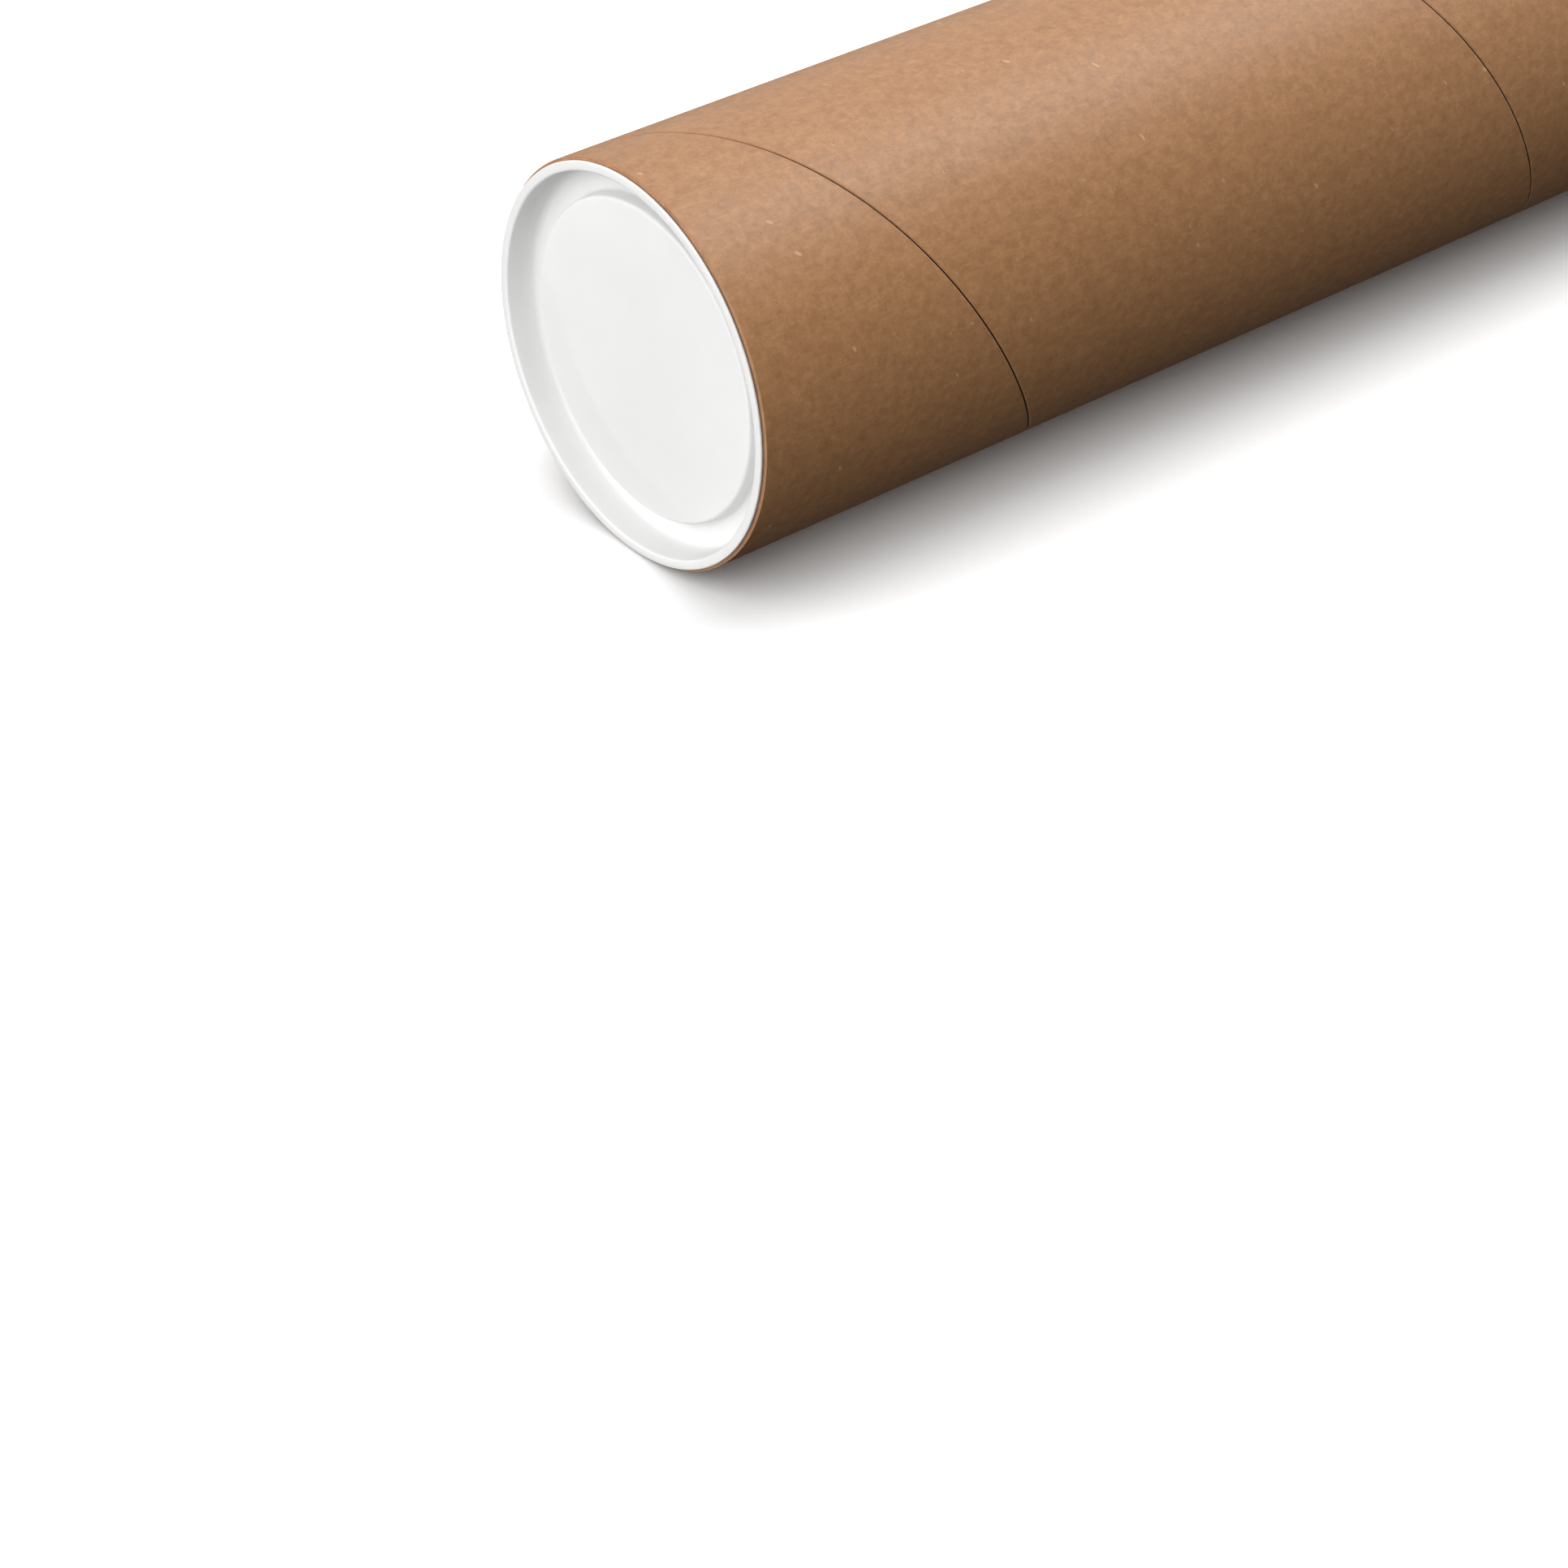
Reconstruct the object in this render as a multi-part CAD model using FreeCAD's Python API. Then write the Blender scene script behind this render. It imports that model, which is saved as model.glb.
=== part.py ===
import FreeCAD, Part
import math
import os

# Drawing tube: a spiral-wound cardboard tube with a push-in plastic plug in each end
# and one rolled sheet inside. It lies along X on the plane Z = 0, with its middle over
# the origin. Angles around the tube are measured from +Y towards +Z, in degrees.
# Depths in a plug are measured from the flat front of its flange towards the tube's middle.

# ---- driving dimensions, millimetres ----
TUBE_LENGTH = 450.0
TUBE_BORE_RADIUS = 38.1
PLY_THICKNESS = 0.3
PLIES_INSIDE_OUT = ("inner_liner", "wall_ply_inner", "wall_ply_middle", "wall_ply_outer", "outer_wrap")
REST_FLAT = 0.22

SEAM_LEAD = 139.0
SEAM_GAP = 0.4
SEAM_START_ANGLE = 35.0

FLANGE_RADIUS = 39.0
FLANGE_THICKNESS = 0.7
FLANGE_STAND_OFF = 0.2
FLANGE_EDGE_ROUND = 0.3
SKIRT_RADIUS = 37.8
SKIRT_REACH = 13.0
SKIRT_LEAD_IN = 0.6
BEAD_HEIGHT = 0.2
BEAD_HALF_WIDTH = 1.2
BEAD_DEPTHS = (6.4, 10.9)
RECESS_MOUTH_RADIUS = 37.1
RECESS_DEPTH = 6.6
RECESS_DRAFT = 0.3
RECESS_EDGE_ROUND = 0.4
DISC_RADIUS = 31.4
DISC_DEPTH = 3.5
DISC_DRAFT = 0.3
DISC_EDGE_ROUND = 0.7
WEB_THICKNESS = 1.2
BACK_MOUTH_RADIUS = 36.7
BACK_DRAFT = 0.2

SHEET_WIDTH = 420.0
SHEET_LENGTH = 594.0
SHEET_THICKNESS = 0.25
ROLL_RADIUS = 37.0
ROLL_PITCH = 0.45
ROLL_SAG = 0.7
ROLL_POINTS_PER_TURN = 24

# ---- sizes that follow ----
TUBE_OUTER_RADIUS = TUBE_BORE_RADIUS + PLY_THICKNESS * len(PLIES_INSIDE_OUT)
AXIS_HEIGHT = TUBE_OUTER_RADIUS - REST_FLAT
HALF_LENGTH = TUBE_LENGTH / 2
CUT_MARGIN = 1.0
SEAM_RUN_IN = SEAM_LEAD / 8

X_AXIS = FreeCAD.Vector(1, 0, 0)
Z_AXIS = FreeCAD.Vector(0, 0, 1)
TUBE_CENTRE = FreeCAD.Vector(0, 0, AXIS_HEIGHT)


def along_tube(shape):
    """Turn a shape built up from Z = 0 around the Z axis into the tube's place along X."""
    turned = shape.copy()
    turned.rotate(FreeCAD.Vector(0, 0, 0), FreeCAD.Vector(1, 1, 1), 120)
    turned.translate(FreeCAD.Vector(-HALF_LENGTH, 0, AXIS_HEIGHT))
    return turned


def seam_slit(inner_radius, outer_radius, start_angle):
    """The helical gap between the edges of one ply, as a thin swept blade around Z."""
    helix = Part.makeHelix(SEAM_LEAD, TUBE_LENGTH + 2 * SEAM_RUN_IN, outer_radius)
    half_gap = SEAM_GAP / 2
    corners = [
        FreeCAD.Vector(inner_radius - CUT_MARGIN, 0, -half_gap),
        FreeCAD.Vector(outer_radius + CUT_MARGIN, 0, -half_gap),
        FreeCAD.Vector(outer_radius + CUT_MARGIN, 0, half_gap),
        FreeCAD.Vector(inner_radius - CUT_MARGIN, 0, half_gap),
    ]
    profile = Part.makePolygon(corners + corners[:1])
    blade = Part.Wire(helix.Edges).makePipeShell([profile], True, True)
    blade.translate(FreeCAD.Vector(0, 0, -SEAM_RUN_IN))
    run_in_angle = 360 * SEAM_RUN_IN / SEAM_LEAD
    blade.rotate(FreeCAD.Vector(0, 0, 0), Z_AXIS, start_angle - run_in_angle)
    return blade


def pressed_flat(ply):
    """A ply with a narrow flat along its underside, where the tube lies on the surface."""
    below = Part.makeBox(TUBE_LENGTH, 2 * TUBE_OUTER_RADIUS, CUT_MARGIN)
    below.translate(FreeCAD.Vector(-HALF_LENGTH, -TUBE_OUTER_RADIUS, -CUT_MARGIN))
    return ply.cut(below)


def wound_ply(layer):
    """One paper strip wound into a tube, its edges butted along a helix."""
    inner_radius = TUBE_BORE_RADIUS + layer * PLY_THICKNESS
    outer_radius = inner_radius + PLY_THICKNESS
    outermost = len(PLIES_INSIDE_OUT) - 1
    stagger = (outermost - layer) * 360 / len(PLIES_INSIDE_OUT)
    shell = Part.makeCylinder(outer_radius, TUBE_LENGTH).cut(
        Part.makeCylinder(inner_radius, TUBE_LENGTH))
    strip = along_tube(shell.cut(seam_slit(inner_radius, outer_radius, SEAM_START_ANGLE + stagger)))
    return pressed_flat(strip) if layer == outermost else strip


class Outline:
    """A closed outline in the plane of radius (Y) and depth behind the plug's face (X)."""

    def __init__(self, depth, radius):
        self.here = FreeCAD.Vector(depth, radius, 0)
        self.first = self.here
        self.edges = []

    def line(self, depth, radius):
        there = FreeCAD.Vector(depth, radius, 0)
        self.edges.append(Part.LineSegment(self.here, there).toShape())
        self.here = there

    def arc(self, through_depth, through_radius, depth, radius):
        there = FreeCAD.Vector(depth, radius, 0)
        through = FreeCAD.Vector(through_depth, through_radius, 0)
        self.edges.append(Part.Arc(self.here, through, there).toShape())
        self.here = there

    def face(self):
        self.line(self.first.x, self.first.y)
        return Part.Face(Part.Wire(self.edges))


def corner_bulge(round_radius):
    """How far the middle of a quarter round stands off the two lines that it joins."""
    return round_radius * (1 - math.cos(math.radians(45)))


def add_skirt(outline, deepest):
    """The skirt from the flange inwards: a plain wall, two low friction beads, a lead-in."""
    outline.line(FLANGE_THICKNESS, SKIRT_RADIUS)
    for depth in BEAD_DEPTHS:
        outline.line(depth - BEAD_HALF_WIDTH, SKIRT_RADIUS)
        outline.arc(depth, SKIRT_RADIUS + BEAD_HEIGHT, depth + BEAD_HALF_WIDTH, SKIRT_RADIUS)
    outline.line(deepest - SKIRT_LEAD_IN, SKIRT_RADIUS)
    outline.line(deepest, SKIRT_RADIUS - SKIRT_LEAD_IN)


def plug_profile():
    """Half section of the plug: a front recess with a raised disc, a flange, a skirt, a back pocket."""
    deepest = FLANGE_THICKNESS + SKIRT_REACH
    web_back = RECESS_DEPTH + WEB_THICKNESS
    flange_bulge = corner_bulge(FLANGE_EDGE_ROUND)
    recess_bulge = corner_bulge(RECESS_EDGE_ROUND)
    disc_bulge = corner_bulge(DISC_EDGE_ROUND)
    disc_foot_radius = DISC_RADIUS + DISC_DRAFT

    outline = Outline(DISC_DEPTH, 0)
    outline.line(DISC_DEPTH, DISC_RADIUS - DISC_EDGE_ROUND)
    outline.arc(DISC_DEPTH + disc_bulge, DISC_RADIUS - disc_bulge,
                DISC_DEPTH + DISC_EDGE_ROUND, DISC_RADIUS)
    outline.line(RECESS_DEPTH, disc_foot_radius)
    outline.line(RECESS_DEPTH, RECESS_MOUTH_RADIUS - RECESS_DRAFT)
    outline.line(RECESS_EDGE_ROUND, RECESS_MOUTH_RADIUS)
    outline.arc(recess_bulge, RECESS_MOUTH_RADIUS + recess_bulge,
                0, RECESS_MOUTH_RADIUS + RECESS_EDGE_ROUND)
    outline.line(0, FLANGE_RADIUS - FLANGE_EDGE_ROUND)
    outline.arc(flange_bulge, FLANGE_RADIUS - flange_bulge, FLANGE_EDGE_ROUND, FLANGE_RADIUS)
    outline.line(FLANGE_THICKNESS, FLANGE_RADIUS)
    add_skirt(outline, deepest)
    outline.line(deepest, BACK_MOUTH_RADIUS)
    outline.line(web_back, BACK_MOUTH_RADIUS - BACK_DRAFT)
    outline.line(web_back, disc_foot_radius - WEB_THICKNESS)
    outline.line(DISC_DEPTH + WEB_THICKNESS, DISC_RADIUS - WEB_THICKNESS)
    outline.line(DISC_DEPTH + WEB_THICKNESS, 0)
    return outline.face()


def end_plug(side):
    """The plug at one end of the tube: side is -1 at the near end and +1 at the far end."""
    plug = plug_profile().revolve(FreeCAD.Vector(0, 0, 0), X_AXIS, 360)
    plug.translate(FreeCAD.Vector(-HALF_LENGTH - FLANGE_STAND_OFF - FLANGE_THICKNESS, 0, 0))
    if side > 0:
        plug.rotate(FreeCAD.Vector(0, 0, 0), Z_AXIS, 180)
    plug.translate(TUBE_CENTRE)
    return plug


def sheet_turns():
    """How many turns the sheet's length makes on a flat spiral of the roll's pitch."""
    mid_radius = ROLL_RADIUS - SHEET_THICKNESS / 2
    # length = 2 pi (r n - pitch n^2 / 2), solved for the number of turns n
    reach = mid_radius ** 2 - ROLL_PITCH * SHEET_LENGTH / math.pi
    return (mid_radius - math.sqrt(reach)) / ROLL_PITCH


def spiral_edge(start_radius, turns):
    """One face of the wound sheet in the YZ plane, from its free outer edge inwards."""
    count = round(turns * ROLL_POINTS_PER_TURN)
    points = []
    for step in range(count + 1):
        turned = turns * step / count
        angle = 2 * math.pi * turned
        radius = start_radius - ROLL_PITCH * turned
        points.append(FreeCAD.Vector(0, radius * math.cos(angle), radius * math.sin(angle)))
    curve = Part.BSplineCurve()
    curve.interpolate(points)
    return curve.toShape()


def rolled_sheet():
    """The sheet wound on itself and resting on the bottom of the bore."""
    turns = sheet_turns()
    outside = spiral_edge(ROLL_RADIUS, turns)
    inside = spiral_edge(ROLL_RADIUS - SHEET_THICKNESS, turns)
    outer_end = Part.makeLine(outside.Vertexes[0].Point, inside.Vertexes[0].Point)
    inner_end = Part.makeLine(outside.Vertexes[1].Point, inside.Vertexes[1].Point)
    section = Part.Face(Part.Wire(Part.__sortEdges__([outside, inner_end, inside, outer_end])))
    roll = section.extrude(X_AXIS * SHEET_WIDTH)
    roll.translate(TUBE_CENTRE + FreeCAD.Vector(-SHEET_WIDTH / 2, 0, -ROLL_SAG))
    return roll


def build_nodes():
    """Every piece by name."""
    nodes = {name: wound_ply(layer) for layer, name in enumerate(PLIES_INSIDE_OUT)}
    nodes["near_plug"] = end_plug(-1)
    nodes["far_plug"] = end_plug(1)
    nodes["rolled_sheet"] = rolled_sheet()
    return nodes


os.makedirs("parts", exist_ok=True)
for node_name, node_shape in build_nodes().items():
    solid = node_shape.Solids[0]
    solid.exportStep(f"parts/{node_name}.step")
    print(f"{node_name}: {len(node_shape.Solids)} solid, valid {solid.isValid()}, "
          f"{solid.Volume / 1000:.2f} cm3")
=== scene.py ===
import math

import bpy
import numpy as np
from mathutils import Matrix, Vector


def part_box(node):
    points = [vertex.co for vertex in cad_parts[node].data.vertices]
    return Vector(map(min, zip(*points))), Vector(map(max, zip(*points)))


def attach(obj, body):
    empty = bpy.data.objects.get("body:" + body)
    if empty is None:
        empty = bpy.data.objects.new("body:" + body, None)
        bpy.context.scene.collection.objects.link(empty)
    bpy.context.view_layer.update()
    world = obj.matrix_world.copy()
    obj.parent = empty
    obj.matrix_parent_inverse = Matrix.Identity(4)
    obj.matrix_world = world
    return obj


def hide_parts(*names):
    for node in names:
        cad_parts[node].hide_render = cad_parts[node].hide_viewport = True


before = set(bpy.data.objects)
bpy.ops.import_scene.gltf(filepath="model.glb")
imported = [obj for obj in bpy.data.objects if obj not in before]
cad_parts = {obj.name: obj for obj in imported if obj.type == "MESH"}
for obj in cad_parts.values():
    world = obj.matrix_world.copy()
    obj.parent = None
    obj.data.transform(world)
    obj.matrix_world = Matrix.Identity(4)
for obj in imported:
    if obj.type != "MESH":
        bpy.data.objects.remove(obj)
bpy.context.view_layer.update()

# Drawing tube, in metres. It lies along X; angles around it run from +Y towards +Z.
MM = 0.001

# ---- sizes read from the parts in model.glb ----
WRAP_LOW, WRAP_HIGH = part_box("outer_wrap")
HALF_LENGTH = WRAP_HIGH.x
OUTER_RADIUS = (WRAP_HIGH.y - WRAP_LOW.y) / 2
AXIS_HEIGHT = WRAP_HIGH.z - OUTER_RADIUS
SHEET_LOW, SHEET_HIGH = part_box("rolled_sheet")
SHEET_WIDTH = SHEET_HIGH.x - SHEET_LOW.x
PLUG_FACE = -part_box("near_plug")[0].x

# ---- sizes shared with the design ----
PLY_THICKNESS = 0.3 * MM
PLY_COUNT = 5
SEAM_LEAD = 139.0 * MM
SEAM_GAP = 0.4 * MM
SEAM_START_ANGLE = math.radians(35.0)
SEAM_STAGGER = 2 * math.pi / PLY_COUNT

FLANGE_RADIUS = 39.0 * MM
FLANGE_THICKNESS = 0.7 * MM
SKIRT_RADIUS = 37.8 * MM
SKIRT_REACH = 13.0 * MM
SKIRT_LEAD_IN = 0.6 * MM
BEAD_HEIGHT = 0.2 * MM
BEAD_HALF_WIDTH = 1.2 * MM
BEAD_DEPTHS = (6.4 * MM, 10.9 * MM)
RECESS_MOUTH_RADIUS = 37.1 * MM
RECESS_DEPTH = 6.6 * MM
RECESS_DRAFT = 0.3 * MM
DISC_RADIUS = 31.4 * MM
DISC_DEPTH = 3.5 * MM
DISC_DRAFT = 0.3 * MM
WEB_THICKNESS = 1.2 * MM
BACK_MOUTH_RADIUS = 36.7 * MM
BACK_DRAFT = 0.2 * MM

SHEET_LENGTH = 594.0 * MM
SHEET_THICKNESS = 0.25 * MM
ROLL_RADIUS = 37.0 * MM
ROLL_PITCH = 0.45 * MM
ROLL_SAG = 0.7 * MM

# ---- the camera: degrees, tube radii from under the middle of the near plug's face, mm ----
CAMERA_AZIMUTH = -39.29
CAMERA_ELEVATION = 36.98
CAMERA_ROLL = 0.36
CAMERA_PLACE = Vector((-9.144, -12.337, 10.171))
CAMERA_LENS = 88.93

# ---- the lights (direction, distance, size, power), then how bright the surroundings are ----
LIGHTS = {
    "wide_side_box": ((-0.93, -0.12, 0.34), 1.6, 3.0, 43.0),
    "low_side_box": ((-0.97, 0.12, 0.20), 1.8, 2.0, 12.5),
    "front_box": ((-0.45, -0.55, 0.70), 1.8, 1.0, 6.5),
    "back_box": ((0.45, 0.80, 0.35), 1.6, 1.5, 6.0),
    "far_box": ((0.96, 0.0, 0.22), 2.0, 2.0, 16.0),
    "top_box": ((0.30, 0.25, 0.92), 1.6, 1.5, 9.6),
    "sheen_box": ((0.50, -0.10, 0.86), 1.6, 0.8, 9.6),
}
SKY_STRENGTH = 0.07
GROUND_STRENGTH = 0.05
# the floor's glow is painted fill light
FLOOR_GLOW = 0.45


# ======================================================================
# mesh helpers
# ======================================================================

PAPER_SHARP_ANGLE = 50


def make_piece(name, vertices, faces, materials, face_materials=None, uvs=None):
    """A smooth-shaded mesh object. uvs holds one (u, v) in metres per vertex."""
    mesh = bpy.data.meshes.new(name)
    mesh.from_pydata([tuple(v) for v in vertices], [], [tuple(f) for f in faces])
    for material in materials:
        mesh.materials.append(material)
    if face_materials is not None:
        mesh.polygons.foreach_set("material_index", np.asarray(face_materials, np.int32))
    if uvs is not None:
        loops = np.zeros(len(mesh.loops), np.int32)
        mesh.loops.foreach_get("vertex_index", loops)
        layer = mesh.uv_layers.new(name="paper")
        layer.data.foreach_set("uv", np.asarray(uvs, np.float32)[loops].ravel())
    mesh.polygons.foreach_set("use_smooth", np.ones(len(mesh.polygons), bool))
    mesh.update()
    mesh.validate()
    piece = bpy.data.objects.new(name, mesh)
    bpy.context.scene.collection.objects.link(piece)
    return piece


def shade_by_angle(piece, degrees):
    """Sharp edges where faces meet at more than this angle, smooth ones elsewhere."""
    piece.data.set_sharp_from_angle(angle=math.radians(degrees))


def smoothstep(low, high, value):
    t = np.clip((value - low) / (high - low), 0.0, 1.0)
    return t * t * (3 - 2 * t)


def shell_faces(columns, rows):
    """Quads of a closed sheet: outer grid, inner grid and the four walls between them.

    Vertex (column, row) of the outer grid is column * rows + row, and the inner grid
    follows it. Returns the faces and, for each, 0 for outer, 1 for inner, 2 for a wall.
    """
    faces = []
    kinds = []
    inner = columns * rows

    def add(a, b, c, d, kind):
        faces.append((a, b, c, d))
        kinds.append(kind)

    for c in range(columns - 1):
        for r in range(rows - 1):
            a = c * rows + r
            add(a, a + rows, a + rows + 1, a + 1, 0)
            add(inner + a, inner + a + 1, inner + a + rows + 1, inner + a + rows, 1)
        low = c * rows
        high = low + rows - 1
        add(low, inner + low, inner + low + rows, low + rows, 2)
        add(high, high + rows, inner + high + rows, inner + high, 2)
    for r in range(rows - 1):
        a = r
        b = (columns - 1) * rows + r
        add(a, a + 1, inner + a + 1, inner + a, 2)
        add(b, inner + b, inner + b + 1, b + 1, 2)
    return faces, kinds


# ======================================================================
# the wound tube
# ======================================================================

COLUMNS_PER_TURN = 180
MIDDLE_ROWS = 14
EDGE_OFFSETS = np.array([0.0, 0.04, 0.09, 0.16, 0.26, 0.45, 1.2]) * MM
EDGE_SHARE = 0.9
SHORTEST_COLUMN = 0.6 * MM
SEAM_BEVEL = 0.14 * MM
CUT_BEVEL = 0.05 * MM
BEVEL_WIDTH = 0.26 * MM
OUT_OF_ROUND = 0.035 * MM
# lobes round the tube, radians of twist per metre, phase, share of the whole
WAVES = ((2, 9, 0.0, 0.5), (3, -31, 1.0, 0.3), (7, 57, 2.0, 0.2))


def seam_place(angle, layer):
    """Where along X the seam of this layer stands, at an unwrapped angle in radians."""
    start = SEAM_START_ANGLE + layer * SEAM_STAGGER
    return -HALF_LENGTH + SEAM_LEAD * (angle - start) / (2 * math.pi)


def out_of_round(angle, x):
    """The slight waviness that a winding mandrel leaves on the tube's outside, in metres."""
    return OUT_OF_ROUND * sum(np.sin(lobes * angle + twist * x + phase) * share
                              for lobes, twist, phase, share in WAVES)


def row_places(low, high):
    """Places from one edge of the strip to the other, crowded towards both edges."""
    half = (high - low) / 2
    offsets = np.minimum(EDGE_OFFSETS, half * np.linspace(0, EDGE_SHARE, len(EDGE_OFFSETS)))
    middle = np.linspace(low + offsets[-1], high - offsets[-1], MIDDLE_ROWS + 2)[1:-1]
    return np.concatenate([low + offsets, middle, (high - offsets)[::-1]])


def edge_fall(distance, depth):
    """How far the surface rounds down at this distance from an edge."""
    return depth * np.clip(1 - distance / BEVEL_WIDTH, 0, 1) ** 2


def wound_strip(name, layer, materials):
    """One paper strip of the tube: layer 0 is outermost."""
    outer = OUTER_RADIUS - layer * PLY_THICKNESS
    strip_width = SEAM_LEAD - SEAM_GAP
    start = SEAM_START_ANGLE + layer * SEAM_STAGGER
    first = start + (SHORTEST_COLUMN - SEAM_GAP / 2 - strip_width) / SEAM_LEAD * 2 * math.pi
    last = start + (2 * HALF_LENGTH - SEAM_GAP / 2 - SHORTEST_COLUMN) / SEAM_LEAD * 2 * math.pi
    count = round((last - first) / (2 * math.pi) * COLUMNS_PER_TURN)
    angles = np.linspace(first, last, count)
    rise = math.atan2(SEAM_LEAD, 2 * math.pi * outer)

    outer_grid, inner_grid, uvs = [], [], []
    for angle in angles:
        seam_low = seam_place(angle, layer) + SEAM_GAP / 2
        seam_high = seam_low + strip_width
        low = max(seam_low, -HALF_LENGTH)
        high = min(seam_high, HALF_LENGTH)
        x = row_places(low, high)
        fall = np.maximum(edge_fall(x - seam_low, SEAM_BEVEL), edge_fall(seam_high - x, SEAM_BEVEL))
        cut_fall = np.maximum(edge_fall(x + HALF_LENGTH, CUT_BEVEL),
                              edge_fall(HALF_LENGTH - x, CUT_BEVEL))
        fall = np.maximum(fall, cut_fall)
        wave = out_of_round(angle, x) if layer == 0 else 0.0
        for grid, radius in ((outer_grid, outer - fall + wave),
                             (inner_grid, np.full_like(x, outer - PLY_THICKNESS))):
            height = np.maximum(AXIS_HEIGHT + radius * math.sin(angle), 0)
            grid.append(np.stack([x, radius * math.cos(angle), height], axis=1))
        along = angle * outer
        uvs.append(np.stack([along * math.cos(rise) + x * math.sin(rise),
                             x * math.cos(rise) - along * math.sin(rise)], axis=1))

    rows = len(outer_grid[0])
    vertices = np.concatenate(outer_grid + inner_grid)
    faces, kinds = shell_faces(len(angles), rows)
    piece = make_piece(name, vertices, faces, materials, kinds, np.concatenate(uvs + uvs))
    shade_by_angle(piece, PAPER_SHARP_ANGLE)
    return piece


# ======================================================================
# the plugs
# ======================================================================

PLUG_SEGMENTS = 240
BEAD_STEPS = 9
PLUG_SHARP_ANGLE = 40

# the undercut behind the flange's edge, along the tube and inwards
FLANGE_UNDERCUT = 0.3 * MM
FLANGE_UNDERCUT_INWARDS = 0.51 * MM

# how far each corner of the plug's half section is rounded
DISC_EDGE_ROUND = 0.7 * MM
DISC_FOOT_ROUND = 0.6 * MM
RECESS_FLOOR_ROUND = 1.3 * MM
RECESS_EDGE_ROUND = 0.45 * MM
FLANGE_EDGE_ROUND = 0.22 * MM
FLANGE_SIDE_ROUND = 0.08 * MM
FLANGE_BACK_ROUND = 0.10 * MM
SKIRT_ROOT_ROUND = 0.15 * MM
LEAD_IN_ROUND = 0.5 * MM
SKIRT_TIP_ROUND = 0.2 * MM
BACK_MOUTH_ROUND = 0.15 * MM
BACK_POCKET_ROUND = 0.8 * MM


class Profile:
    """Points of a half section, as (depth behind the plug's face, radius) in metres."""

    def __init__(self):
        self.points = []

    def corner(self, depth, radius, round_radius=0.0, steps=5):
        self.points.append((Vector((depth, radius)), round_radius, steps))

    def rounded(self):
        """The closed outline with each corner turned into an arc of its radius."""
        out = []
        count = len(self.points)
        for i, (here, round_radius, steps) in enumerate(self.points):
            before = self.points[i - 1][0]
            after = self.points[(i + 1) % count][0]
            if round_radius == 0:
                out.append(here)
                continue
            to_before = (before - here).normalized()
            to_after = (after - here).normalized()
            half = to_before.angle(to_after) / 2
            cut = round_radius / math.tan(half)
            start = here + to_before * cut
            end = here + to_after * cut
            centre = here + (to_before + to_after).normalized() * (round_radius / math.sin(half))
            swing = (start - centre).angle_signed(end - centre)
            for step in range(steps + 1):
                turned = (start - centre).copy()
                turned.rotate(Matrix.Rotation(-swing * step / steps, 2))
                out.append(centre + turned)
        return out


def plug_outline():
    """Recess with its raised disc and the flange in front; skirt and pocket behind."""
    deepest = FLANGE_THICKNESS + SKIRT_REACH
    web_back = RECESS_DEPTH + WEB_THICKNESS
    foot = DISC_RADIUS + DISC_DRAFT
    outline = Profile()
    outline.corner(DISC_DEPTH, 0)
    outline.corner(DISC_DEPTH, DISC_RADIUS / 2)
    outline.corner(DISC_DEPTH, DISC_RADIUS, DISC_EDGE_ROUND, 8)
    outline.corner(RECESS_DEPTH, foot, DISC_FOOT_ROUND, 5)
    outline.corner(RECESS_DEPTH, RECESS_MOUTH_RADIUS - RECESS_DRAFT, RECESS_FLOOR_ROUND, 8)
    outline.corner(0, RECESS_MOUTH_RADIUS, RECESS_EDGE_ROUND, 6)
    outline.corner(0, FLANGE_RADIUS, FLANGE_EDGE_ROUND, 6)
    outline.corner(FLANGE_THICKNESS - FLANGE_UNDERCUT, FLANGE_RADIUS, FLANGE_SIDE_ROUND, 3)
    outline.corner(FLANGE_THICKNESS, FLANGE_RADIUS - FLANGE_UNDERCUT_INWARDS, FLANGE_BACK_ROUND, 3)
    outline.corner(FLANGE_THICKNESS, SKIRT_RADIUS, SKIRT_ROOT_ROUND, 3)
    for middle in BEAD_DEPTHS:
        for t in np.linspace(-1, 1, BEAD_STEPS):
            height = BEAD_HEIGHT * (1 - t * t)
            outline.corner(middle + t * BEAD_HALF_WIDTH, SKIRT_RADIUS + height)
    outline.corner(deepest - SKIRT_LEAD_IN, SKIRT_RADIUS, LEAD_IN_ROUND, 4)
    outline.corner(deepest, SKIRT_RADIUS - SKIRT_LEAD_IN, SKIRT_TIP_ROUND, 4)
    outline.corner(deepest, BACK_MOUTH_RADIUS, BACK_MOUTH_ROUND, 3)
    outline.corner(web_back, BACK_MOUTH_RADIUS - BACK_DRAFT, BACK_POCKET_ROUND, 5)
    outline.corner(web_back, foot - WEB_THICKNESS, DISC_FOOT_ROUND, 4)
    outline.corner(DISC_DEPTH + WEB_THICKNESS, DISC_RADIUS - WEB_THICKNESS, BACK_POCKET_ROUND, 5)
    outline.corner(DISC_DEPTH + WEB_THICKNESS, 0)
    return outline.rounded()


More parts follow.
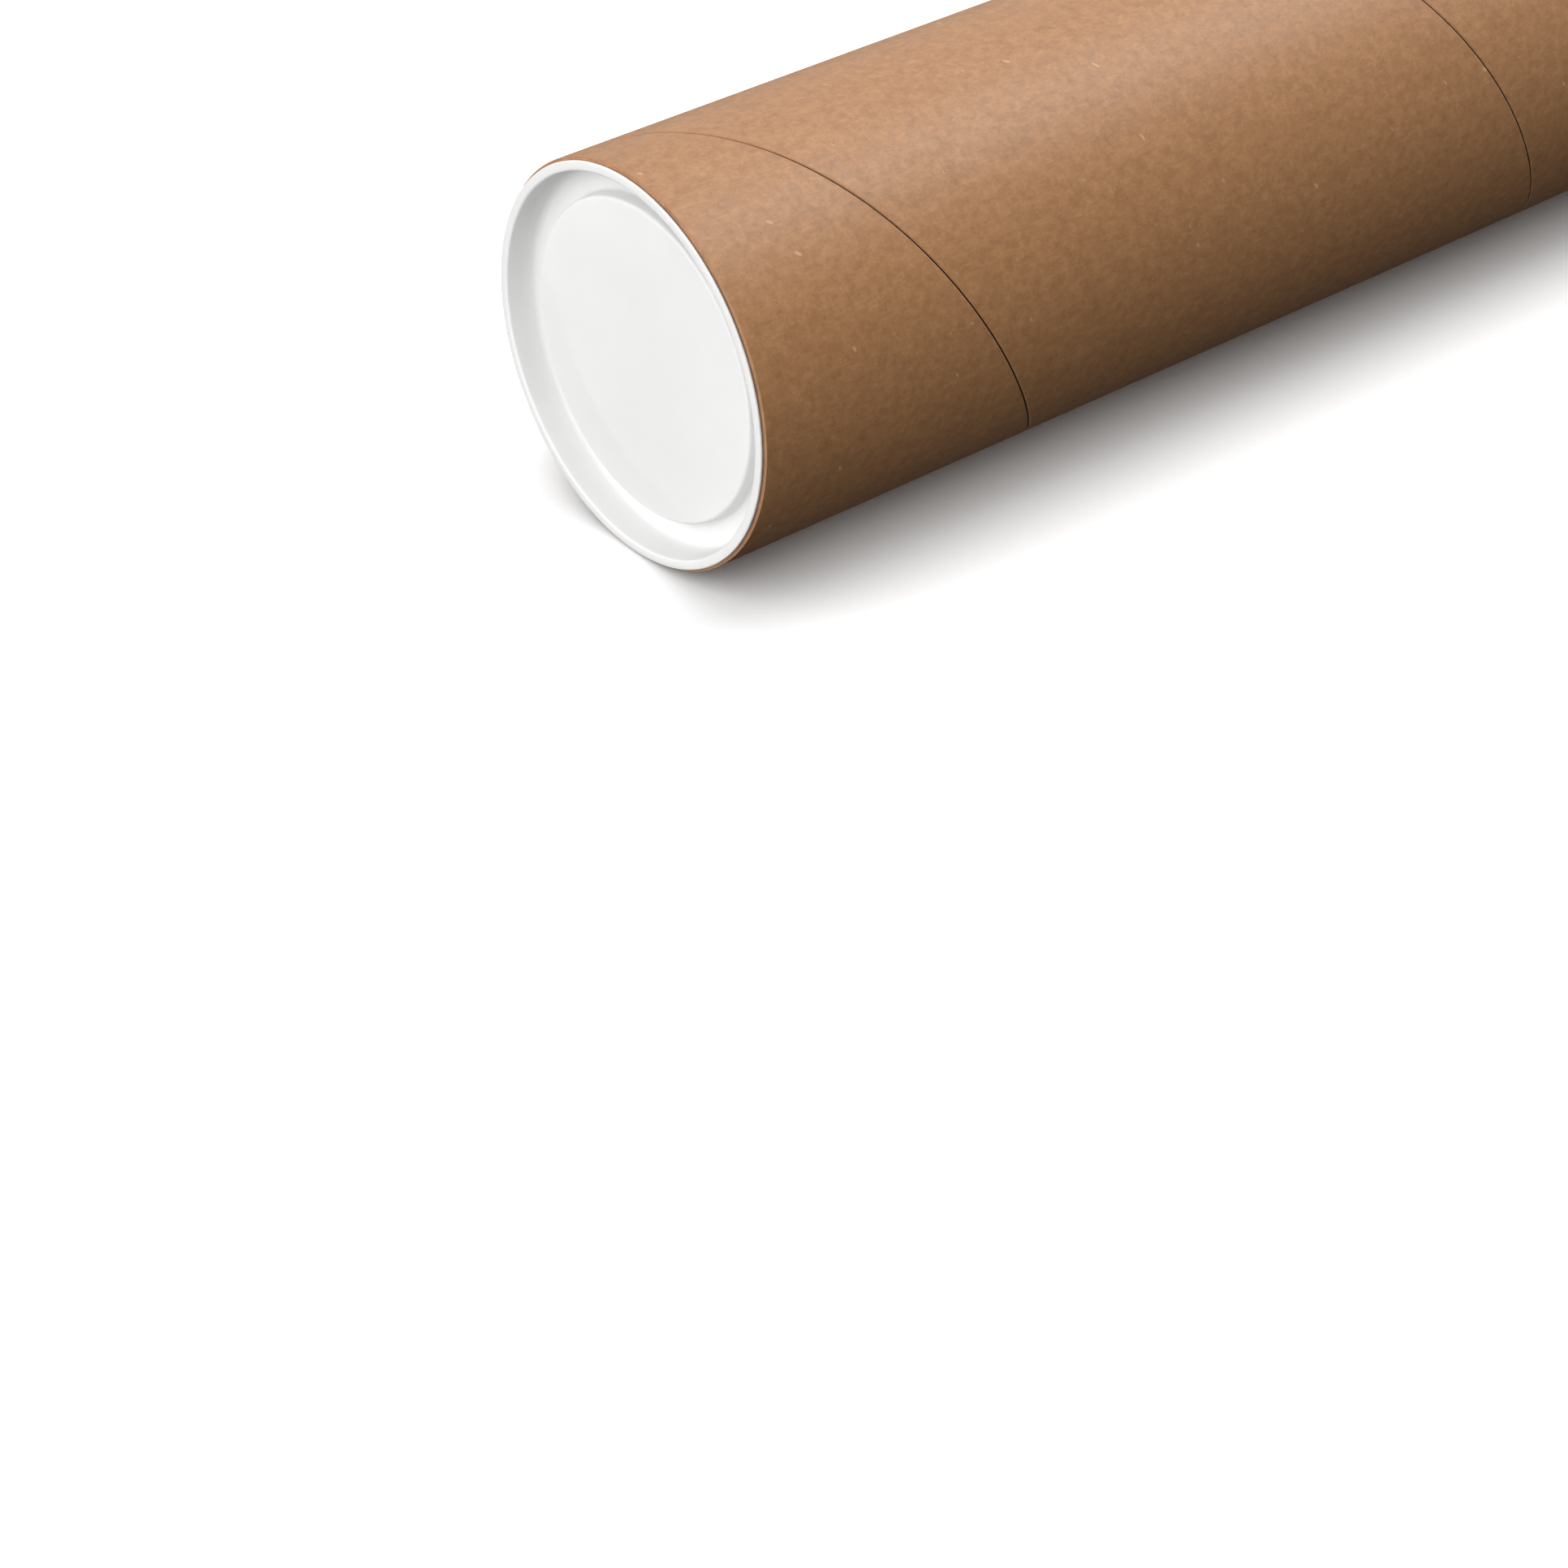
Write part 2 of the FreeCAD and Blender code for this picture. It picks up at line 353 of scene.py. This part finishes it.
def end_plug(name, side, material):
    """The plug outline turned about the tube's axis: side is -1 at the near end, +1 at the far."""
    ring = plug_outline()
    face_x = side * PLUG_FACE
    vertices = []
    for point in ring:
        x = face_x - side * point.x
        if point.y == 0:
            vertices.append((x, 0, AXIS_HEIGHT))
            continue
        for segment in range(PLUG_SEGMENTS):
            angle = 2 * math.pi * segment / PLUG_SEGMENTS
            vertices.append((x, point.y * math.cos(angle), AXIS_HEIGHT + point.y * math.sin(angle)))

    last = len(vertices) - 1
    faces = []
    rings = len(ring) - 2
    for segment in range(PLUG_SEGMENTS):
        after = (segment + 1) % PLUG_SEGMENTS
        faces.append((0, 1 + segment, 1 + after))
        for r in range(rings - 1):
            a = 1 + r * PLUG_SEGMENTS
            b = a + PLUG_SEGMENTS
            faces.append((a + segment, b + segment, b + after, a + after))
        a = 1 + (rings - 1) * PLUG_SEGMENTS
        faces.append((a + segment, last, a + after))
    if side < 0:
        faces = [tuple(reversed(face)) for face in faces]
    piece = make_piece(name, vertices, faces, [material])
    shade_by_angle(piece, PLUG_SHARP_ANGLE)
    return piece


# ======================================================================
# the rolled sheet
# ======================================================================

SHEET_COLUMNS_PER_TURN = 170
SHEET_ROWS = 44
TELESCOPE = 3.0 * MM
TELESCOPE_TURNS = (0.1, 0.9)
FLAP_LIFT = 0.75 * MM
FLAP_LENGTH = 0.07
SHEET_WAVE = 0.10 * MM
SHEET_WAVE_LOBES = 2
SHEET_WAVE_TWIST = 14
SHEET_WAVE_SWELL = 5


def sheet_turns():
    """How many turns the sheet's length makes on a spiral of the roll's pitch."""
    mid_radius = ROLL_RADIUS - SHEET_THICKNESS / 2
    reach = mid_radius ** 2 - ROLL_PITCH * SHEET_LENGTH / math.pi
    return (mid_radius - math.sqrt(reach)) / ROLL_PITCH


def rolled_sheet(name, materials):
    """The printed sheet: outer face print, inner face plain, edges cut paper."""
    turns = sheet_turns()
    count = round(turns * SHEET_COLUMNS_PER_TURN)
    turned = np.linspace(0, turns, count)
    lengthways = np.linspace(-1, 1, SHEET_ROWS)
    x_flat = lengthways * SHEET_WIDTH / 2
    centre_height = AXIS_HEIGHT - ROLL_SAG

    outer_grid, inner_grid, uvs = [], [], []
    for t in turned:
        angle = 2 * math.pi * t
        face_radius = ROLL_RADIUS - ROLL_PITCH * t
        slip = TELESCOPE * (smoothstep(*TELESCOPE_TURNS, t) - 0.5)
        lift = FLAP_LIFT * (1 - smoothstep(0, FLAP_LENGTH, t))
        ripple = np.sin(SHEET_WAVE_LOBES * angle + SHEET_WAVE_TWIST * x_flat)
        wave = SHEET_WAVE * ripple * np.cos(SHEET_WAVE_SWELL * x_flat)
        radius = face_radius + lift + wave
        for grid, r in ((outer_grid, radius), (inner_grid, radius - SHEET_THICKNESS)):
            grid.append(np.stack([x_flat + slip, r * math.cos(angle),
                                  centre_height + r * math.sin(angle)], axis=1))
        along = 2 * math.pi * (ROLL_RADIUS * t - ROLL_PITCH * t * t / 2)
        uvs.append(np.stack([np.full_like(x_flat, along), x_flat + SHEET_WIDTH / 2], axis=1))

    faces, kinds = shell_faces(count, SHEET_ROWS)
    piece = make_piece(name, np.concatenate(outer_grid + inner_grid), faces, materials, kinds,
                       np.concatenate(uvs + uvs))
    shade_by_angle(piece, PAPER_SHARP_ANGLE)
    return piece


# ======================================================================
# materials
# ======================================================================

class Nodes:
    """A material's node tree with short ways to add and join nodes."""

    def __init__(self, name):
        self.material = bpy.data.materials.new(name)
        self.material.use_nodes = True
        self.tree = self.material.node_tree
        self.shader = self.tree.nodes["Principled BSDF"]

    def add(self, kind, **settings):
        node = self.tree.nodes.new(kind)
        for key, value in settings.items():
            setattr(node, key, value)
        return node

    def link(self, source, target):
        self.tree.links.new(source, target)

    def place(self, space):
        """Texture coordinates: Object is the row frame, UV is metres on the flat paper."""
        return self.add("ShaderNodeTexCoord").outputs[space]

    def stretched(self, source, scale):
        mapping = self.add("ShaderNodeMapping")
        mapping.inputs["Scale"].default_value = scale
        self.link(source, mapping.inputs["Vector"])
        return mapping.outputs["Vector"]

    def noise(self, source, scale, detail=4.0, roughness=0.55, distortion=0.0):
        node = self.add("ShaderNodeTexNoise")
        node.inputs["Scale"].default_value = scale
        node.inputs["Detail"].default_value = detail
        node.inputs["Roughness"].default_value = roughness
        node.inputs["Distortion"].default_value = distortion
        self.link(source, node.inputs["Vector"])
        return node.outputs["Fac"]

    def warped(self, source, scale, amount):
        """The same coordinates, bent to and fro by a smooth noise."""
        noise = self.add("ShaderNodeTexNoise")
        noise.inputs["Scale"].default_value = scale
        self.link(source, noise.inputs["Vector"])
        centred = self.add("ShaderNodeVectorMath", operation="SUBTRACT")
        centred.inputs[1].default_value = (0.5, 0.5, 0.5)
        self.link(noise.outputs["Color"], centred.inputs[0])
        bent = self.add("ShaderNodeVectorMath", operation="MULTIPLY_ADD")
        bent.inputs[1].default_value = (amount, amount, amount)
        self.link(centred.outputs["Vector"], bent.inputs[0])
        self.link(source, bent.inputs[2])
        return bent.outputs["Vector"]

    def cells(self, source, scale):
        node = self.add("ShaderNodeTexVoronoi")
        node.inputs["Scale"].default_value = scale
        self.link(source, node.inputs["Vector"])
        return node

    def ranged(self, value, low, high, to_low=0.0, to_high=1.0, smooth=False):
        node = self.add("ShaderNodeMapRange")
        node.interpolation_type = "SMOOTHSTEP" if smooth else "LINEAR"
        node.inputs["From Min"].default_value = low
        node.inputs["From Max"].default_value = high
        node.inputs["To Min"].default_value = to_low
        node.inputs["To Max"].default_value = to_high
        self.link(value, node.inputs["Value"])
        return node.outputs["Result"]

    def math(self, operation, a, b=None):
        node = self.add("ShaderNodeMath", operation=operation)
        for socket, value in zip(node.inputs, (a, b)):
            if value is None:
                continue
            if isinstance(value, (int, float)):
                socket.default_value = value
            else:
                self.link(value, socket)
        return node.outputs["Value"]

    def mixed(self, factor, a, b, blend="MIX"):
        """Colour a where factor is 0 and b where it is 1; colours are RGB tuples or sockets."""
        node = self.add("ShaderNodeMix", data_type="RGBA", blend_type=blend)
        named = {"Factor": node.inputs[0], "A": node.inputs[6], "B": node.inputs[7]}
        for key, value in (("Factor", factor), ("A", a), ("B", b)):
            if isinstance(value, (int, float)):
                named[key].default_value = value
            elif isinstance(value, tuple):
                named[key].default_value = (*value, 1.0)
            else:
                self.link(value, named[key])
        return node.outputs[2]

    def bumped(self, height, strength, distance, below=None):
        node = self.add("ShaderNodeBump")
        node.inputs["Strength"].default_value = strength
        node.inputs["Distance"].default_value = distance
        self.link(height, node.inputs["Height"])
        if below is not None:
            self.link(below, node.inputs["Normal"])
        return node.outputs["Normal"]

    def finish(self, colour, roughness, normal, specular=0.5):
        if isinstance(colour, tuple):
            self.shader.inputs["Base Color"].default_value = (*colour, 1.0)
        else:
            self.link(colour, self.shader.inputs["Base Color"])
        self.link(roughness, self.shader.inputs["Roughness"])
        self.link(normal, self.shader.inputs["Normal"])
        self.shader.inputs["Specular IOR Level"].default_value = specular
        return self.material


def kraft_paper(name, tone, gloss):
    """Calendered kraft: a fine mottled formation, short crossed fibres and a few light shives."""
    n = Nodes(name)
    flat = n.place("UV")
    solid = n.place("Object")

    def toned(red, green, blue):
        return (tone[0] * red, tone[1] * green, tone[2] * blue)

    # fine mottling of about 2 mm and 0.6 mm
    mottle = n.noise(solid, 480, 4, 0.66)
    grain = n.noise(solid, 1500, 3, 0.6)
    colour = n.mixed(n.ranged(mottle, 0.30, 0.70), toned(0.83, 0.80, 0.77), toned(1.17, 1.19, 1.22))
    colour = n.mixed(n.ranged(grain, 0.38, 0.70, 0.0, 0.34), colour, toned(0.72, 0.68, 0.64))

    # short fibres, lighter along the tube and darker across the strip
    along = n.noise(n.stretched(solid, (420, 1500, 1500)), 1, 3, 0.62, 0.8)
    across = n.noise(n.stretched(flat, (1500, 330, 1)), 1, 3, 0.62, 1.0)
    colour = n.mixed(n.ranged(along, 0.54, 0.74, 0, 0.34), colour, toned(1.36, 1.42, 1.52))
    colour = n.mixed(n.ranged(along, 0.46, 0.28, 0, 0.34), colour, toned(0.66, 0.61, 0.57))
    colour = n.mixed(n.ranged(across, 0.58, 0.78, 0, 0.24), colour, toned(0.62, 0.58, 0.55))

    # soft brown flecks, and now and then a light shive
    fleck_field = n.noise(n.stretched(flat, (520, 700, 1)), 1, 2, 0.5, 0.6)
    colour = n.mixed(n.ranged(fleck_field, 0.70, 0.80, 0, 0.45), colour, toned(0.50, 0.43, 0.38))
    shives = n.cells(n.stretched(n.warped(flat, 90, 0.005), (140, 300, 1)), 1)
    shive_here = n.math("GREATER_THAN", n.noise(n.stretched(flat, (83, 91, 1)), 1, 1, 0.5), 0.56)
    shive = n.math("MULTIPLY", n.ranged(shives.outputs["Distance"], 0.06, 0.12, 1, 0), shive_here)
    colour = n.mixed(n.math("MULTIPLY", shive, 0.62), colour, toned(1.6, 2.1, 2.9))

    roughness = n.ranged(n.noise(solid, 520, 4, 0.6), 0.3, 0.7, gloss, gloss + 0.10)
    surface = n.bumped(grain, 0.22, 0.00005)
    normal = n.bumped(along, 0.30, 0.00003, surface)
    return n.finish(colour, roughness, normal, 0.6)


def cut_board(name, tone):
    """The cut edge of paper board: grey-brown, fibrous, quite matt."""
    n = Nodes(name)
    solid = n.place("Object")
    grit = n.noise(solid, 1500, 4, 0.65)
    patch = n.noise(solid, 220, 3, 0.6)
    colour = n.mixed(n.ranged(patch, 0.3, 0.7), tuple(c * 0.85 for c in tone),
                     tuple(c * 1.12 for c in tone))
    colour = n.mixed(n.ranged(grit, 0.45, 0.75, 0, 0.5), colour, tuple(c * 0.6 for c in tone))
    roughness = n.ranged(patch, 0.2, 0.8, 0.82, 0.95)
    normal = n.bumped(grit, 0.6, 0.00008)
    return n.finish(colour, roughness, normal, 0.25)


def plug_plastic():
    """White polyethylene: soft, with a fine matt mould texture and faint scuffs."""
    n = Nodes("plug_plastic")
    solid = n.place("Object")
    tint = n.noise(solid, 30, 3, 0.5)
    colour = n.mixed(n.ranged(tint, 0.3, 0.7), (0.76, 0.76, 0.755), (0.80, 0.80, 0.795))
    scuff = n.noise(n.stretched(solid, (300, 900, 2400)), 1, 5, 0.7, 0.8)
    colour = n.mixed(n.ranged(scuff, 0.62, 0.78, 0, 0.12), colour, (0.66, 0.65, 0.63))
    roughness = n.ranged(n.noise(solid, 420, 3, 0.6), 0.3, 0.7, 0.50, 0.62)
    mould = n.noise(solid, 2600, 2, 0.5)
    swirl = n.noise(solid, 38, 2, 0.5)
    normal = n.bumped(mould, 0.10, 0.00003, n.bumped(swirl, 0.12, 0.0003))
    n.shader.inputs["Subsurface Weight"].default_value = 0.5
    n.shader.inputs["Subsurface Radius"].default_value = (1, 1, 1)
    n.shader.inputs["Subsurface Scale"].default_value = 1.2 * MM
    return n.finish(colour, roughness, normal, 0.3)


def plain_paper(name):
    """The white back of the sheet: smooth, with a faint formation."""
    n = Nodes(name)
    flat = n.place("UV")
    formation = n.noise(flat, 420, 5, 0.6)
    colour = n.mixed(n.ranged(formation, 0.3, 0.7), (0.83, 0.83, 0.825), (0.88, 0.88, 0.875))
    roughness = n.ranged(n.noise(flat, 900, 3, 0.6), 0.3, 0.7, 0.62, 0.75)
    normal = n.bumped(n.noise(flat, 1800, 4, 0.6), 0.15, 0.00003)
    return n.finish(colour, roughness, normal, 0.3)


BORDER_INSET = 23.5 * MM
BORDER_WIDTH = 1.7 * MM
ARTWORK_INSET = 55 * MM
ARTWORK_FADE = 7 * MM
THREAD_RINGS = 9.0


def printed_face():
    """A near-black satin print: a thin pale gold border and fine generic thread lines."""
    n = Nodes("print_face")
    flat = n.place("UV")
    split = n.add("ShaderNodeSeparateXYZ")
    n.link(flat, split.inputs["Vector"])
    u, v = split.outputs["X"], split.outputs["Y"]

    # distance from the nearest edge of the flat sheet
    from_side = n.math("MINIMUM", v, n.math("SUBTRACT", SHEET_WIDTH, v))
    from_end = n.math("MINIMUM", u, n.math("SUBTRACT", SHEET_LENGTH, u))
    from_edge = n.math("MINIMUM", from_side, from_end)
    off_line = n.math("ABSOLUTE", n.math("SUBTRACT", from_edge, BORDER_INSET))
    border = n.math("LESS_THAN", off_line, BORDER_WIDTH / 2)
    inside = n.ranged(from_edge, ARTWORK_INSET, ARTWORK_INSET + ARTWORK_FADE, 0, 1, smooth=True)

    ground = n.mixed(n.ranged(n.noise(flat, 9, 3, 0.5), 0.35, 0.65), (0.011, 0.012, 0.013),
                     (0.030, 0.036, 0.039))
    colour = n.mixed(inside, (0.010, 0.010, 0.0105), ground)
    for scale, width, warp, tone in ((16, 0.008, 1.6, (0.30, 0.31, 0.32)),
                                     (30, 0.012, 2.0, (0.16, 0.18, 0.19))):
        field = n.noise(n.stretched(flat, (1.0, 0.45, 1)), scale, 2.0, 0.45, warp)
        ridges = n.math("PINGPONG", n.math("MULTIPLY", field, THREAD_RINGS), 0.5)
        thread = n.ranged(ridges, 0.0, width * THREAD_RINGS, 1, 0)
        broken = n.ranged(n.noise(flat, 60, 4, 0.6), 0.45, 0.62, 0, 1)
        strength = n.math("MULTIPLY", n.math("MULTIPLY", thread, broken), inside)
        colour = n.mixed(n.math("MULTIPLY", strength, 0.8), colour, tone)
    colour = n.mixed(border, colour, (0.74, 0.60, 0.34))

    roughness = n.ranged(n.noise(flat, 700, 4, 0.6), 0.3, 0.7, 0.30, 0.42)
    normal = n.bumped(n.noise(flat, 1500, 4, 0.6), 0.12, 0.00003)
    return n.finish(colour, roughness, normal, 0.5)


FLOOR_REACH = 30.0
CONTACT_REACH = 0.12
LIT_FLOOR_RADIUS = 0.7
WHITE_FLOOR_RADIUS = 1.8
HORIZON_BLEND = 0.02


def pale_floor():
    """A matt white board whose glow is painted fill light, so that shadows on it stay light."""
    n = Nodes("floor")
    solid = n.place("Object")
    colour = n.mixed(n.noise(solid, 3, 2), (0.90, 0.90, 0.90), (0.92, 0.92, 0.92))
    roughness = n.ranged(n.noise(solid, 6, 2), 0.3, 0.7, 0.85, 0.95)
    normal = n.bumped(n.noise(solid, 400, 2), 0.02, 0.0001)
    # painted fill light: the glow fades out where the tube hems the board in, so the shade beside the
    # tube is painted darker than the open board
    openness = n.add("ShaderNodeAmbientOcclusion", samples=4)
    openness.inputs["Distance"].default_value = CONTACT_REACH
    glow = n.ranged(openness.outputs["AO"], 0.35, 0.95, 0.0, FLOOR_GLOW)
    # beyond the lights' reach the glow rises, so that the board meets the white sky unseen
    away = n.add("ShaderNodeVectorMath", operation="LENGTH")
    n.link(solid, away.inputs[0])
    far_glow = n.ranged(away.outputs["Value"], LIT_FLOOR_RADIUS, WHITE_FLOOR_RADIUS,
                        0.0, 1.0 - FLOOR_GLOW)
    n.link(n.math("ADD", glow, far_glow), n.shader.inputs["Emission Strength"])
    n.shader.inputs["Emission Color"].default_value = (1, 1, 1, 1)
    n.material.cycles.emission_sampling = "NONE"
    return n.finish(colour, roughness, normal, 0.2)


# ======================================================================
# assembly
# ======================================================================

def add_tube():
    wrap = kraft_paper("kraft_wrap", (0.405, 0.200, 0.083), 0.46)
    wrap_edge = cut_board("wrap_edge", (0.44, 0.235, 0.125))
    # painted shade: a near-black face under the wrap, seen only through the seam gap as a dark line
    seam_shade = cut_board("seam_shade_ply", (0.014, 0.008, 0.005))
    board = cut_board("core_board", (0.52, 0.28, 0.16))
    pale_board = cut_board("inner_board", (0.60, 0.41, 0.29))
    liner = kraft_paper("kraft_liner", (0.44, 0.21, 0.11), 0.62)
    # outer face, inner face and edges of each ply; the outer ply's outer face is near-black, painted
    # shade that shows through the wrap's seam gap
    faced = {
        "outer_wrap": [wrap, wrap, wrap_edge],
        "wall_ply_outer": [seam_shade, board, board],
        "wall_ply_middle": [board, board, board],
        "wall_ply_inner": [pale_board, pale_board, pale_board],
        "inner_liner": [liner, liner, pale_board],
    }
    for layer, (node, materials) in enumerate(faced.items()):
        piece = wound_strip(f"{node}_paper", layer, materials)
        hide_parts(node)
        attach(piece, "tube")


def add_plugs():
    plastic = plug_plastic()
    for body, side in (("near_plug", -1), ("far_plug", 1)):
        piece = end_plug(f"{body}_moulding", side, plastic)
        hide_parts(body)
        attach(piece, body)


def add_sheet():
    materials = [printed_face(), plain_paper("paper_back"), plain_paper("paper_edge")]
    piece = rolled_sheet("rolled_print", materials)
    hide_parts("rolled_sheet")
    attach(piece, "sheet")


def add_floor():
    mesh = bpy.data.meshes.new("floor")
    corners = [(FLOOR_REACH * x, FLOOR_REACH * y, 0) for x, y in ((-1, -1), (1, -1), (1, 1), (-1, 1))]
    mesh.from_pydata(corners, [], [(0, 1, 2, 3)])
    mesh.materials.append(pale_floor())
    floor = bpy.data.objects.new("floor", mesh)
    floor.visible_diffuse = False
    floor.visible_glossy = False
    bpy.context.scene.collection.objects.link(floor)


def add_light(name, direction, distance, size, power):
    """A square soft light at this distance, facing the middle of the tube's near half."""
    target = Vector((-HALF_LENGTH / 2, 0, AXIS_HEIGHT))
    data = bpy.data.lights.new(name, "AREA")
    data.size = size
    data.energy = power
    light = bpy.data.objects.new(name, data)
    towards = Vector(direction).normalized()
    light.location = target + towards * distance
    light.rotation_mode = "QUATERNION"
    light.rotation_quaternion = towards.to_track_quat("Z", "Y")
    bpy.context.scene.collection.objects.link(light)


def add_world():
    """An even white sky above the horizon; the camera itself sees white all round."""
    world = bpy.data.worlds.new("studio")
    bpy.context.scene.world = world
    world.use_nodes = True
    tree = world.node_tree
    background = tree.nodes["Background"]
    background.inputs["Color"].default_value = (1, 1, 1, 1)
    direction = tree.nodes.new("ShaderNodeTexCoord").outputs["Generated"]
    split = tree.nodes.new("ShaderNodeSeparateXYZ")
    tree.links.new(direction, split.inputs["Vector"])
    sky = tree.nodes.new("ShaderNodeMapRange")
    sky.inputs["From Min"].default_value = -HORIZON_BLEND
    sky.inputs["From Max"].default_value = HORIZON_BLEND
    sky.inputs["To Min"].default_value = GROUND_STRENGTH
    sky.inputs["To Max"].default_value = SKY_STRENGTH
    tree.links.new(split.outputs["Z"], sky.inputs["Value"])
    path = tree.nodes.new("ShaderNodeLightPath")
    strength = tree.nodes.new("ShaderNodeMix")
    tree.links.new(path.outputs["Is Camera Ray"], strength.inputs["Factor"])
    tree.links.new(sky.outputs["Result"], strength.inputs["A"])
    strength.inputs["B"].default_value = 1.0
    tree.links.new(strength.outputs["Result"], background.inputs["Strength"])


def add_camera():
    azimuth = math.radians(CAMERA_AZIMUTH)
    elevation = math.radians(CAMERA_ELEVATION)
    back = Vector((math.sin(azimuth) * math.cos(elevation), -math.cos(azimuth) * math.cos(elevation),
                   math.sin(elevation)))
    data = bpy.data.cameras.new("camera")
    data.sensor_width = 36.0
    data.lens = CAMERA_LENS
    data.clip_start = 0.01
    data.clip_end = 100.0
    camera = bpy.data.objects.new("camera", data)
    camera.rotation_mode = "QUATERNION"
    level = (-back).to_track_quat("-Z", "Y")
    roll = Matrix.Rotation(math.radians(CAMERA_ROLL), 3, "Z").to_quaternion()
    camera.rotation_quaternion = level @ roll
    under_face = Vector((-PLUG_FACE, 0, AXIS_HEIGHT - OUTER_RADIUS))
    camera.location = under_face + CAMERA_PLACE * OUTER_RADIUS
    bpy.context.scene.collection.objects.link(camera)
    bpy.context.scene.camera = camera


add_camera()
add_tube()
add_plugs()
add_sheet()
add_floor()
for light_name, light_settings in LIGHTS.items():
    add_light(light_name, *light_settings)
add_world()
bpy.context.scene.view_settings.view_transform = "Standard"
